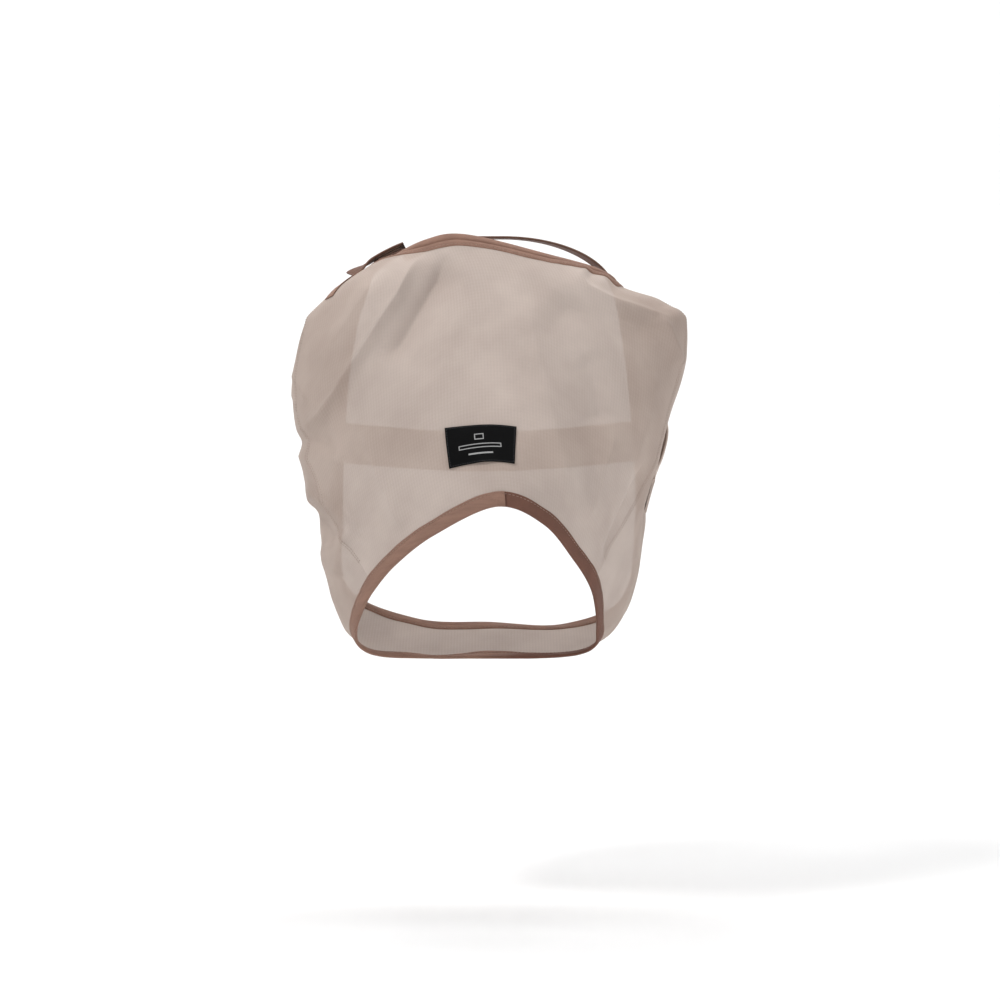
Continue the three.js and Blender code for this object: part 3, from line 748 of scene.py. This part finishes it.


# The box of stitches with a diagonal across it that holds a strap's end, worked between two edge lines of
# points
def boxStitches(name, body, front, back, face, height, inset=0.12):
    lo, hi = inset, 1 - inset
    share = np.linspace(0, 6, 181)
    across = np.interp(share, range(7), [lo, hi, hi, lo, lo, hi, lo])
    row = np.interp(share, range(7), [lo, lo, hi, hi, lo, hi, hi]) * (len(front) - 1)
    rows = np.arange(len(front))
    start, end, up = sample(row, rows, front), sample(row, rows, back), sample(row, rows, face)
    return rowStitches(name, body, start + (end - start) * across[:, None] + up * height * mm, up)


def strapStitches():
    distance = np.linspace(straps["throatAnchor"] - 2, 9, 12)
    front, back = onJowl(leftJowl, straps["throatWidth"], distance, layers["anchor"] + straps["thickness"])
    face = faceOf(front, back, np.array([-1.0, 0.2, 0]))
    anchor = boxStitches("anchorStitches", "hood", front, back, face, 0.1)
    front, back = padEdges(20, layers["tab"] + straps["thickness"])
    face = faceOf(front, back, np.array([1.0, 0.2, 0]))
    throatTab = boxStitches("throatTabStitches", "throat_flap", front, back, face, 0.1, 0.05)
    pollTab = boxStitches("pollTabStitches", "poll_flap", *tabEdges(padSpan), straps["thickness"] + 0.1, 0.1)
    return [anchor, throatTab, pollTab]


stitchPieces += strapStitches()


# A fine row of stitches down each side seam, from the shoulder's corner to the nose tape
def seamStitches(name, station):
    v = np.linspace(0.3, 3.7, 200)
    line = cloth(station, v, 0.1)
    return rowStitches(name, "hood", line, cloth(station, v, 1.1) - line, 2.6, 1.7)


seamPieces = [seamStitches(side + "SeamStitches" + row, station) for side, station, row in (
    ("right", 2.97, "Front"), ("right", 3.03, "Rear"), ("left", 14.97, "Rear"), ("left", 15.03, "Front"))]
print("stage: stitched")

# Sheets: each panel's cut, its widest and longest in metres, and the area its tapered outline fills
panelCuts = dict(facePanel=(0.46, 0.27, 0.104), sidePanelRight=(0.30, 0.26, 0.048),
                 jawPanel=(0.31, 0.10, 0.020), sidePanelLeft=(0.31, 0.26, 0.050))
for name, (wide, tall, area) in panelCuts.items():
    covered = sum(face.area for face in panelPieces[name].data.polygons)
    print("panel", name, "covers", round(covered, 4), "square metres")


# Materials. Node helpers: a value goes in as a number, a colour as four numbers, a link as a socket.
def wire(tree, kind, values=None, **settings):
    node = tree.nodes.new(kind)
    for key, value in settings.items():
        setattr(node, key, value)
    for key, value in (values or {}).items():
        if isinstance(value, bpy.types.NodeSocket):
            tree.links.new(value, node.inputs[key])
        else:
            node.inputs[key].default_value = value
    return node


def maths(tree, operation, *values):
    return wire(tree, "ShaderNodeMath", dict(enumerate(values)), operation=operation).outputs[0]


def blendColour(tree, share, low, high, mode="MIX"):
    node = wire(tree, "ShaderNodeMix", data_type="RGBA", blend_type=mode)
    for index, value in ((0, share), (6, low), (7, high)):
        if isinstance(value, bpy.types.NodeSocket):
            tree.links.new(value, node.inputs[index])
        else:
            node.inputs[index].default_value = value
    return node.outputs[2]


def ramp(tree, value, fromMin, fromMax, toMin=0.0, toMax=1.0):
    return wire(tree, "ShaderNodeMapRange", {"Value": value, "From Min": fromMin, "From Max": fromMax,
                                             "To Min": toMin, "To Max": toMax}).outputs[0]


def clothMap(tree):
    return wire(tree, "ShaderNodeUVMap", uv_map="clothMap").outputs[0]


def newGroup(name, values, results):
    group = bpy.data.node_groups.new(name, "ShaderNodeTree")
    group.interface.new_socket("Vector", in_out="INPUT", socket_type="NodeSocketVector")
    for key, value in values.items():
        group.interface.new_socket(key, in_out="INPUT", socket_type="NodeSocketFloat").default_value = value
    for key in results:
        group.interface.new_socket(key, in_out="OUTPUT", socket_type="NodeSocketFloat")
    return group, group.nodes.new("NodeGroupInput").outputs, group.nodes.new("NodeGroupOutput").inputs


# A colour's red, green and blue as on a screen, from 0 to 255, made linear
def linear(*levels):
    shares = [level / 255 for level in levels]
    return (*(x / 12.92 if x <= 0.04 else ((x + 0.055) / 1.055)**2.4 for x in shares), 1)


# A net of crossed threads: each set is where the distance from the middle of its cell passes a share of it.
# Thread is 1 on the threads and 0 between them, Bars the slow beat of the yarns along and across, Tone a
# drift in the yarn, and Height stands on the threads. Sizes are in millimetres.
beat = dict(along=2.8, across=3.4, alongDepth=0.35, acrossDepth=0.15)


def makeNetWeave():
    group, inn, out = newGroup("netWeave", dict(Pitch=1.2, Thread=0.5), ("Thread", "Bars", "Tone", "Height"))
    wander = wire(group, "ShaderNodeTexNoise", {"Vector": inn["Vector"], "Scale": 9.0, "Detail": 2.0})
    bent = wire(group, "ShaderNodeVectorMath", {0: wander.outputs["Color"], 1: (0.0016, 0.0016, 0)},
                operation="MULTIPLY")
    moved = wire(group, "ShaderNodeVectorMath", {0: inn["Vector"], 1: bent.outputs[0]}, operation="ADD")
    along, across, _ = wire(group, "ShaderNodeSeparateXYZ", {0: moved.outputs[0]}).outputs
    edge = maths(group, "SUBTRACT", 1.0, inn["Thread"])
    sets = []
    for way in (along, across):
        cell = maths(group, "DIVIDE", way, maths(group, "MULTIPLY", inn["Pitch"], mm))
        middle = maths(group, "ABSOLUTE", maths(group, "SUBTRACT", maths(group, "FRACT", cell), 0.5))
        sets.append(ramp(group, maths(group, "MULTIPLY", middle, 2.0), edge, maths(group, "ADD", edge, 0.22)))
    both = maths(group, "MAXIMUM", *sets)
    turns = maths(group, "SINE", maths(group, "MULTIPLY", along, 2 * math.pi * 1000 / beat["along"]))
    crossed = maths(group, "SINE", maths(group, "MULTIPLY", across, 2 * math.pi * 1000 / beat["across"]))
    bars = maths(group, "ADD", maths(group, "MULTIPLY_ADD", turns, beat["alongDepth"], 0.5),
                 maths(group, "MULTIPLY", crossed, beat["acrossDepth"]))
    drift = wire(group, "ShaderNodeTexNoise", {"Vector": inn["Vector"], "Scale": 14.0, "Detail": 5.0})
    for key, value in (("Thread", both), ("Bars", bars), ("Tone", drift.outputs["Fac"]), ("Height", both)):
        group.links.new(value, out[key])
    return group


# Grosgrain: ribs across the length every pitch, crossed by a finer yarn, with a slow drift in its tone
def makeRibWeave():
    group, inn, out = newGroup("ribWeave", dict(Pitch=0.9, Cross=0.45), ("Rib", "Tone", "Height"))
    along, across, _ = wire(group, "ShaderNodeSeparateXYZ", {0: inn["Vector"]}).outputs
    waves = []
    for way, pitch in ((along, inn["Pitch"]), (across, inn["Cross"])):
        turns = maths(group, "DIVIDE", maths(group, "MULTIPLY", way, 2 * math.pi * 1000), pitch)
        waves.append(maths(group, "MULTIPLY_ADD", maths(group, "SINE", turns), 0.5, 0.5))
    rib = maths(group, "MULTIPLY_ADD", waves[0], 0.7, maths(group, "MULTIPLY", waves[1], 0.3))
    drift = wire(group, "ShaderNodeTexNoise", {"Vector": inn["Vector"], "Scale": 60.0, "Detail": 6.0,
                                               "Roughness": 0.65})
    for key, value in (("Rib", rib), ("Tone", drift.outputs["Fac"]), ("Height", rib)):
        group.links.new(value, out[key])
    return group


netWeave, ribWeave = makeNetWeave(), makeRibWeave()


def startMaterial(name, roughness, sheen=0.0, sheenTint=(1, 1, 1, 1)):
    material = bpy.data.materials.new(name)
    material.use_nodes = True
    tree = material.node_tree
    shader = tree.nodes["Principled BSDF"]
    shader.inputs["Roughness"].default_value = roughness
    shader.inputs["Specular IOR Level"].default_value = 0.25
    shader.inputs["Sheen Weight"].default_value = sheen
    shader.inputs["Sheen Roughness"].default_value = 0.5
    shader.inputs["Sheen Tint"].default_value = sheenTint
    return material, tree, shader


def placeGroup(tree, group, vector, **values):
    node = tree.nodes.new("ShaderNodeGroup")
    node.node_tree = group
    tree.links.new(vector, node.inputs["Vector"])
    for key, value in values.items():
        node.inputs[key].default_value = value
    return node


def addBump(tree, shader, height, distance, strength):
    bump = wire(tree, "ShaderNodeBump", {"Height": height, "Distance": distance, "Strength": strength})
    tree.links.new(bump.outputs[0], shader.inputs["Normal"])


# Sheer mesh: beige threads, thinner between them, lighter where the yarn drifts
net = dict(pitch=1.25, thread=0.46, dark=linear(167, 150, 140), light=linear(191, 175, 165),
           open=0.93, closed=0.998, bars=0.07)


def meshMaterial():
    material, tree, shader = startMaterial("sheerMesh", 0.8, sheen=0.1, sheenTint=linear(225, 210, 200))
    weave = placeGroup(tree, netWeave, clothMap(tree), Pitch=net["pitch"], Thread=net["thread"])
    tone = ramp(tree, weave.outputs["Tone"], 0.25, 0.75)
    tree.links.new(blendColour(tree, tone, net["dark"], net["light"]), shader.inputs["Base Color"])
    cover = ramp(tree, weave.outputs["Thread"], 0.0, 1.0, net["open"], net["closed"])
    alpha = maths(tree, "SUBTRACT", cover, maths(tree, "MULTIPLY", weave.outputs["Bars"], net["bars"]))
    tree.links.new(alpha, shader.inputs["Alpha"])
    addBump(tree, shader, weave.outputs["Height"], 0.0002, 0.35)
    return material


# Woven tape and webbing: ribbed, lighter on the ribs and where the yarn drifts; the nose tape also gets
# painted shade over its first stretch. Pitch and cross are in millimetres, depth and the shaded stretch's
# length in metres.
def wovenMaterial(name, dark, light, pitch, cross, depth, wanderAndShade=None):
    material, tree, shader = startMaterial(name, 0.78, sheen=0.08, sheenTint=linear(230, 205, 190))
    place = clothMap(tree)
    weave = placeGroup(tree, ribWeave, place, Pitch=pitch, Cross=cross)
    shade = maths(tree, "ADD", maths(tree, "MULTIPLY", weave.outputs["Rib"], 0.35),
                  maths(tree, "MULTIPLY", weave.outputs["Tone"], 0.75))
    colour = blendColour(tree, shade, dark, light)
    if wanderAndShade:  # painted shade: the first stretch of the tape is darkened by the shade tint
        along = wire(tree, "ShaderNodeSeparateXYZ", {0: place}).outputs[0]
        first = ramp(tree, along, wanderAndShade["length"], wanderAndShade["length"] + wanderAndShade["fade"], 1.0, 0.0)
        shadedColour = blendColour(tree, 1.0, colour, wanderAndShade["shadeTint"], "MULTIPLY")
        colour = blendColour(tree, first, colour, shadedColour)
    tree.links.new(colour, shader.inputs["Base Color"])
    tree.links.new(ramp(tree, weave.outputs["Tone"], 0.3, 0.7, 0.6, 0.85), shader.inputs["Roughness"])
    addBump(tree, shader, weave.outputs["Height"], depth, 0.6)
    return material


# Hook and loop: a felt of tiny loops, as cells and a finer fuzz
def feltMaterial(name, dark, light):
    material, tree, shader = startMaterial(name, 0.9, sheen=0.2, sheenTint=linear(190, 165, 150))
    spot = wire(tree, "ShaderNodeTexCoord").outputs["Object"]
    cells = wire(tree, "ShaderNodeTexVoronoi", {"Vector": spot, "Scale": 1100.0}).outputs["Distance"]
    fuzz = wire(tree, "ShaderNodeTexNoise", {"Vector": spot, "Scale": 500.0, "Detail": 4.0}).outputs["Fac"]
    shade = maths(tree, "MULTIPLY_ADD", cells, 0.6, maths(tree, "MULTIPLY", fuzz, 0.5))
    tree.links.new(blendColour(tree, shade, dark, light), shader.inputs["Base Color"])
    addBump(tree, shader, shade, 0.0006, 0.8)
    return material


# Thread: a fine twist, light and dark
def threadMaterial(name, dark, light):
    material, tree, shader = startMaterial(name, 0.6, sheen=0.2)
    spot = wire(tree, "ShaderNodeTexCoord").outputs["Object"]
    twist = wire(tree, "ShaderNodeTexNoise", {"Vector": spot, "Scale": 900.0, "Detail": 3.0}).outputs["Fac"]
    tree.links.new(blendColour(tree, twist, dark, light), shader.inputs["Base Color"])
    addBump(tree, shader, twist, 0.0001, 0.5)
    return material


# The label: black satin weave with plain woven marks, a small frame, a long frame and a bar. Each mark is the
# height of its middle over the label's, its half width and its half height, in millimetres.
labelMarks = dict(frame=(6.4, 4.2, 2.6), frameInside=(6.4, 3.4, 1.8), longFrame=(-1.6, 19, 1.9),
                  longInside=(-1.6, 18.2, 1.1), bar=(-8.4, 11, 0.7))


def labelMaterial():
    material, tree, shader = startMaterial("labelWeave", 0.62)
    place = clothMap(tree)
    weave = placeGroup(tree, ribWeave, place, Pitch=0.42, Cross=0.42)
    along, around, _ = wire(tree, "ShaderNodeSeparateXYZ", {0: place}).outputs
    across = maths(tree, "ABSOLUTE", maths(tree, "SUBTRACT", along, label["width"] / 2 * mm))
    down = maths(tree, "SUBTRACT", around, (label["height"] / 2 + 0.1) * mm)
    areas = {}
    for key, (middle, halfWide, halfTall) in labelMarks.items():
        away = maths(tree, "ABSOLUTE", maths(tree, "SUBTRACT", down, middle * mm))
        areas[key] = maths(tree, "MULTIPLY", maths(tree, "LESS_THAN", across, halfWide * mm),
                           maths(tree, "LESS_THAN", away, halfTall * mm))
    marks = maths(tree, "MAXIMUM", areas["frame"], areas["longFrame"])
    marks = maths(tree, "MAXIMUM", marks, areas["bar"])
    marks = maths(tree, "SUBTRACT", marks, areas["frameInside"])
    marks = maths(tree, "SUBTRACT", marks, areas["longInside"])
    pale = maths(tree, "MULTIPLY", marks, maths(tree, "MULTIPLY_ADD", weave.outputs["Rib"], 0.5, 0.5))
    ground = blendColour(tree, weave.outputs["Rib"], linear(1, 1, 2), linear(9, 9, 10))
    shader.inputs["Specular IOR Level"].default_value = 0.1
    tree.links.new(blendColour(tree, pale, ground, linear(190, 190, 190)), shader.inputs["Base Color"])
    addBump(tree, shader, weave.outputs["Height"], 0.00012, 0.6)
    return material


tapeBrown = (linear(98, 70, 58), linear(170, 134, 117))
materials = dict(
    mesh=meshMaterial(),
    tape=wovenMaterial("bindingTape", *tapeBrown, 0.8, 0.5, 0.00015),
    # the nose tape's first 0.3 m, over the viewer's right side of the nose, is darkened as painted shade
    noseTape=wovenMaterial("noseTape", *tapeBrown, 0.8, 0.5, 0.00015,
                           wanderAndShade=dict(length=0.3, fade=0.04, shadeTint=(0.55, 0.44, 0.42, 1))),
    webbing=wovenMaterial("pollWebbing", linear(70, 47, 38), linear(132, 98, 84), 1.5, 0.9, 0.0003),
    throatWebbing=wovenMaterial("throatWebbing", linear(176, 158, 146), linear(226, 212, 202),
                                1.5, 0.9, 0.0003),
    pollFelt=feltMaterial("pollHookAndLoop", linear(52, 38, 31), linear(110, 86, 74)),
    throatFelt=feltMaterial("throatHookAndLoop", linear(150, 132, 121), linear(206, 190, 179)),
    thread=threadMaterial("sewingThread", linear(120, 90, 76), linear(186, 156, 140)),
    meshThread=threadMaterial("meshThread", linear(140, 122, 111), linear(186, 168, 157)),
    labelThread=threadMaterial("labelThread", linear(18, 18, 20), linear(52, 52, 56)),
    label=labelMaterial())


def dress(key, *pieces):
    for piece in pieces:
        piece.data.materials.clear()
        piece.data.materials.append(materials[key])


dress("mesh", *panelPieces.values())
dress("tape", *tapePieces.values(), *dartPieces)
dress("noseTape", tapePieces["noseBinding"])
dress("webbing", pollStrap, pollTail)
dress("throatWebbing", throatAnchor, throatStrap)
dress("pollFelt", *pollPads)
dress("throatFelt", *throatPads)
dress("thread", *stitchPieces)
dress("labelThread", labelThreads)
dress("meshThread", *seamPieces)
dress("label", wovenLabel)
print("stage: materials set")

# The set: a pale floor that curves up into a backdrop, soft light from the upper left, and the camera
studio = dict(floor=-0.62, near=-5.0, backdrop=1.6, bend=0.9, top=4.5, half=4.0,
              cameraAt=(0.009, -2.898, -0.1417), lens=112.0, aim=(0.009, -0.1, -0.2394),
              worldSeen=1.0, worldLight=0.4)
maskMiddle = (0, -0.05, -0.2)
lamps = dict(keyLamp=dict(at=(-1.35, -1.35, 1.75), aim=maskMiddle, size=0.6, power=34),
             fillLamp=dict(at=(2.1, -1.5, 0.7), aim=maskMiddle, size=1.2, power=15),
             backdropLamp=dict(at=(0, 0.9, 2.6), aim=(0, 2.3, -0.2), size=2.2, power=56))


# A sheet of paper: level, then up a quarter circle, then upright
def makeBackdrop():
    turn = np.linspace(0, np.pi / 2, 24)
    curve = np.stack([studio["backdrop"] + studio["bend"] * np.sin(turn),
                      studio["floor"] + studio["bend"] * (1 - np.cos(turn))], 1)
    profile = np.concatenate([[[studio["near"], studio["floor"]]], curve,
                              [[studio["backdrop"] + studio["bend"], studio["top"]]]])
    points = np.stack([np.stack([np.full(len(profile), x), profile[:, 0], profile[:, 1]], 1)
                       for x in (-studio["half"], studio["half"])])
    backdrop = makeObject("backdrop", points, gridFaces(*points.shape[:2])[:, ::-1].tolist())
    material, _, shader = startMaterial("palePaper", 0.95)
    shader.inputs["Base Color"].default_value = (0.93, 0.93, 0.93, 1)
    backdrop.data.materials.append(material)


makeBackdrop()


def addToSet(name, data, at, aim):
    thing = bpy.data.objects.new(name, data)
    thing.location = at
    thing.rotation_euler = (Vector(aim) - Vector(at)).to_track_quat("-Z", "Y").to_euler()
    bpy.context.scene.collection.objects.link(thing)
    return thing


for name, lamp in lamps.items():
    data = bpy.data.lights.new(name, "AREA")
    data.shape, data.size, data.energy = "DISK", lamp["size"], lamp["power"]
    addToSet(name, data, lamp["at"], lamp["aim"])

# The world is bright where the camera sees it, and a softer light on the mask
world = bpy.context.scene.world or bpy.data.worlds.new("studioWorld")
bpy.context.scene.world = world
world.use_nodes = True
background = world.node_tree.nodes["Background"]
seen = world.node_tree.nodes.new("ShaderNodeLightPath").outputs["Is Camera Ray"]
strength = maths(world.node_tree, "MULTIPLY_ADD", seen, studio["worldSeen"] - studio["worldLight"],
                 studio["worldLight"])
world.node_tree.links.new(strength, background.inputs[1])
background.inputs[0].default_value = (1, 1, 1, 1)
bpy.context.scene.view_settings.view_transform = "Standard"

camera = addToSet("mainCamera", bpy.data.cameras.new("mainCamera"), studio["cameraAt"], studio["aim"])
camera.data.lens = studio["lens"]
bpy.context.scene.camera = camera
print("stage: set and camera")
